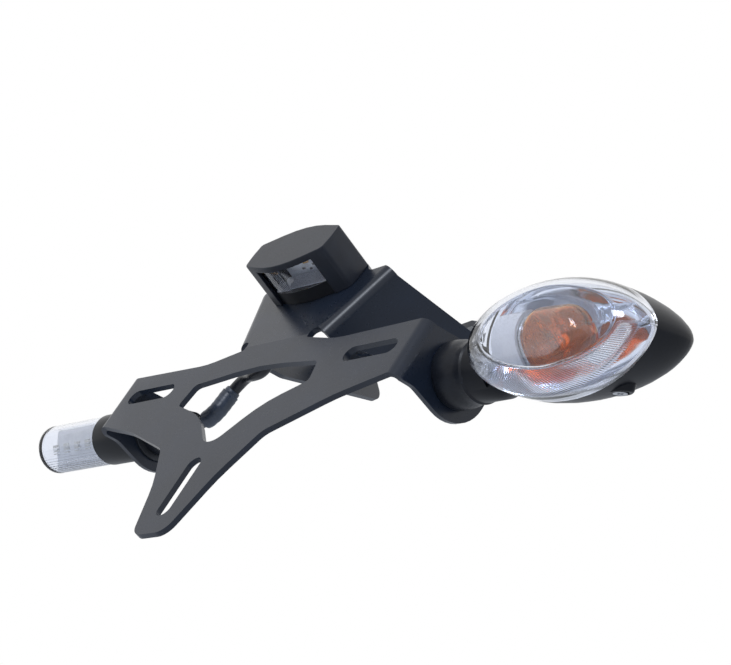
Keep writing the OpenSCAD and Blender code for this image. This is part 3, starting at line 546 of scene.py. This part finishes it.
loopLoft("lensScrewSeat", podFrame(screwSeat()), podAbs, sharp=50)

# bulb: thin blown glass on a plated cap with a rolled bead, cap as (radius, place) points; mm from the holder
bulb = {"middle": (42, -12, 3.6), "radius": 8.5, "neck": 6.9, "wall": 0.6, "glassFrom": 15.6, "domeAt": 30.0,
        "swell": (15.4, 18.8), "barrelRows": 26, "domeTurn": (4, 88.5), "domeRows": 22, "sides": 96,
        "cap": [(5.4, 4.2), (6.6, 4.5), (7.0, 5.2), (7.0, 14.0), (7.4, 14.4), (7.4, 15.2), (6.9, 15.7), (5.8, 15.9)]}
# filament: a coil between two support wires, which run through it as one line of (place, height) points
filament = {"line": [(15.8, -2.6), (24.5, -2.2), (26.2, -1.2), (26.2, 1.2), (24.5, 2.2), (15.8, 2.6)],
            "rings": 90, "sides": 10, "wire": 0.25, "coil": 0.2, "coilRise": (-1.6, -1.2), "turns": (0.6, 0.4),
            "turnRate": 12}


def bulbTurned(radius, x):  # a profile turned round the bulb's long axis
    turn = np.linspace(0, 2 * math.pi, bulb["sides"], endpoint=False)[None, :]
    radius, x = np.asarray(radius, float)[:, None], np.asarray(x, float)[:, None]
    ring = np.broadcast_arrays(x + 0 * turn, radius * np.cos(turn), radius * np.sin(turn))
    return np.stack(ring, axis=-1) + np.array(bulb["middle"], float)


def bulbGlass(inset):  # a neck that swells by a smooth S into a straight barrel and closes in half a ball
    x = np.linspace(bulb["glassFrom"], bulb["domeAt"], bulb["barrelRows"])
    barrel = bulb["neck"] + (bulb["radius"] - bulb["neck"]) * smoothStep(x, *bulb["swell"]) - inset
    turn = np.radians(np.linspace(*bulb["domeTurn"], bulb["domeRows"]))
    dome = (bulb["radius"] - inset) * np.stack([np.cos(turn), np.sin(turn)])
    return bulbTurned(np.concatenate([barrel, dome[0]]), np.concatenate([x, bulb["domeAt"] + dome[1]]))


def filamentRadius(at):  # the wire's radius, thickened over its middle by a coil whose turns are a cosine
    middle = smoothStep(-np.abs(at - at[-1] / 2), *filament["coilRise"])
    turns = filament["turns"][0] + filament["turns"][1] * np.cos(at * filament["turnRate"])
    return filament["wire"] + filament["coil"] * middle * turns


closedLoft("bulbGlass", podFrame(np.concatenate([bulbGlass(bulb["wall"])[::-1], bulbGlass(0.0)])), amberGlass,
           ("right_indicator_bulb",), sharp=60)
closedLoft("bulbCap", podFrame(bulbTurned(*np.array(bulb["cap"]).T)), zincSteel, sharp=50)
wireLine = np.array([(x, 0.0, z) for x, z in filament["line"]]) + np.array(bulb["middle"], float)
wireLine, wireAt = evenRoute(wireLine, 0, math.inf, filament["rings"])  # to its end
closedLoft("bulbFilament", podFrame(tubeRings(wireLine, filamentRadius(wireAt), filament["sides"])), zincSteel,
           sharp=50)
print("pod made")


# lens of the left indicator: tube with fine flutes inside its lower half and a closed end with a rounded rim;
# x runs outwards from the ear, mm
slim = {"radius": 11.2, "wall": 1.6, "from": 33, "length": 44, "columns": 576, "outRows": 130, "inRows": 24,
        "rimRows": 9, "rim": 2, "endWall": 3, "rimInside": 1.4, "flutes": 48, "fluteDepth": 0.04,
        "flutesRise": (0.1, 0.2), "groove": 0.3, "grooveIn": 3.6, "grooveWidth": 0.35}
slimAngle = np.linspace(0, 2 * math.pi, slim["columns"], endpoint=False)[None, :]


def slimSide(radius, rows, stop, rim):  # a straight side up to stop, then a quarter circle of the rim's radius
    turn = np.linspace(0, math.pi / 2, slim["rimRows"])[1:]
    x = np.concatenate([np.linspace(slim["from"], stop, rows), stop + rim * np.sin(turn)])
    return x, np.concatenate([np.full(rows, radius), radius - rim + rim * np.cos(turn)])


def slimRings(x, radius, ripple):  # circles about X, the radius rippled by a cosine round the tube's lower half
    lower = smoothStep(-np.sin(slimAngle), *slim["flutesRise"])
    r = radius[:, None] + ripple * (1 - np.cos(slim["flutes"] * slimAngle)) * lower
    return np.stack(np.broadcast_arrays(x[:, None] + 0 * r, r * np.cos(slimAngle), r * np.sin(slimAngle)), axis=-1)


reach = slim["from"] + slim["length"]
outX, outR = slimSide(slim["radius"], slim["outRows"], reach - slim["rim"], slim["rim"])
grooveAt = outX - reach + slim["grooveIn"]
outR -= slim["groove"] * np.exp(-(grooveAt / slim["grooveWidth"]) ** 2)  # fine groove round the end
inX, inR = slimSide(slim["radius"] - slim["wall"], slim["inRows"], reach - slim["endWall"], slim["rimInside"])
inSide = slimRings(inX, inR, slim["fluteDepth"])
outSide = slimRings(outX, outR, 0.0)
closedLoft("slimLens", slimFrame(np.concatenate([inSide[::-1], outSide])), clearLens, ("left_indicator_lens",),
           sharp=50)
print("left lens made")


# stage: pale floor under the object, white room for the eye and for mirrors, one soft box; metres and watts
studio = {"floor": -0.42, "floorHalf": 6.0, "roomStrength": 0.68, "keyPower": 11.0, "keySize": 0.46,
          "keyPlace": (0.70, -0.98, 1.07), "roomTone": "#e9eef6", "white": "#ffffff", "cardTone": "#fbfbfb",
          "keyTone": "#eef4ff"}


def makeStage():
    world = bpy.data.worlds.new("studio")
    scene.world = world
    world.use_nodes = True
    tree = world.node_tree
    tree.nodes.clear()
    path = addNode(tree, "ShaderNodeLightPath")
    seen = addNode(tree, "ShaderNodeMath", {0: path.outputs["Is Camera Ray"], 1: path.outputs["Is Glossy Ray"]},
                   operation="MAXIMUM")
    seen = addNode(tree, "ShaderNodeMath", {0: seen.outputs[0], 1: path.outputs["Is Transmission Ray"]},
                   operation="MAXIMUM")
    lit = addNode(tree, "ShaderNodeBackground", {"Color": colour(studio["roomTone"]),
                                                 "Strength": studio["roomStrength"]})
    backdrop = addNode(tree, "ShaderNodeBackground", {"Color": colour(studio["white"]), "Strength": 1.0})
    mix = addNode(tree, "ShaderNodeMixShader", {0: seen.outputs[0], 1: lit.outputs[0], 2: backdrop.outputs[0]})
    addNode(tree, "ShaderNodeOutputWorld", {"Surface": mix.outputs[0]})
    side = studio["floorHalf"]
    corners = np.array([[-side, -side], [side, -side], [side, side], [-side, side]])
    mesh = bpy.data.meshes.new("floor")
    mesh.from_pydata([(x, y, studio["floor"]) for x, y in corners], [], [(0, 1, 2, 3)])
    floor = bpy.data.objects.new("floor", mesh)
    scene.collection.objects.link(floor)
    # matt white card: plain diffuse white, which keeps the object's shadow
    card, _, _ = newMaterial("white_card", studio["cardTone"], 0.9, specular=0.0)
    mesh.materials.append(card)


def addSoftbox(name, place, aim, size, power):
    lamp = bpy.data.lights.new(name, "AREA")
    lamp.shape = "RECTANGLE"
    lamp.size, lamp.size_y = size
    lamp.energy = power
    lamp.color = colour(studio["keyTone"])[:3]
    lampObject = bpy.data.objects.new(name, lamp)
    lampObject.location = place
    lampObject.rotation_euler = (Vector(aim) - Vector(place)).to_track_quat("-Z", "Y").to_euler()
    scene.collection.objects.link(lampObject)


makeStage()
addSoftbox("keyBox", studio["keyPlace"], (0, 0, 0), (studio["keySize"], studio["keySize"]), studio["keyPower"])
scene.view_settings.view_transform = "Standard"
print("stage lit")
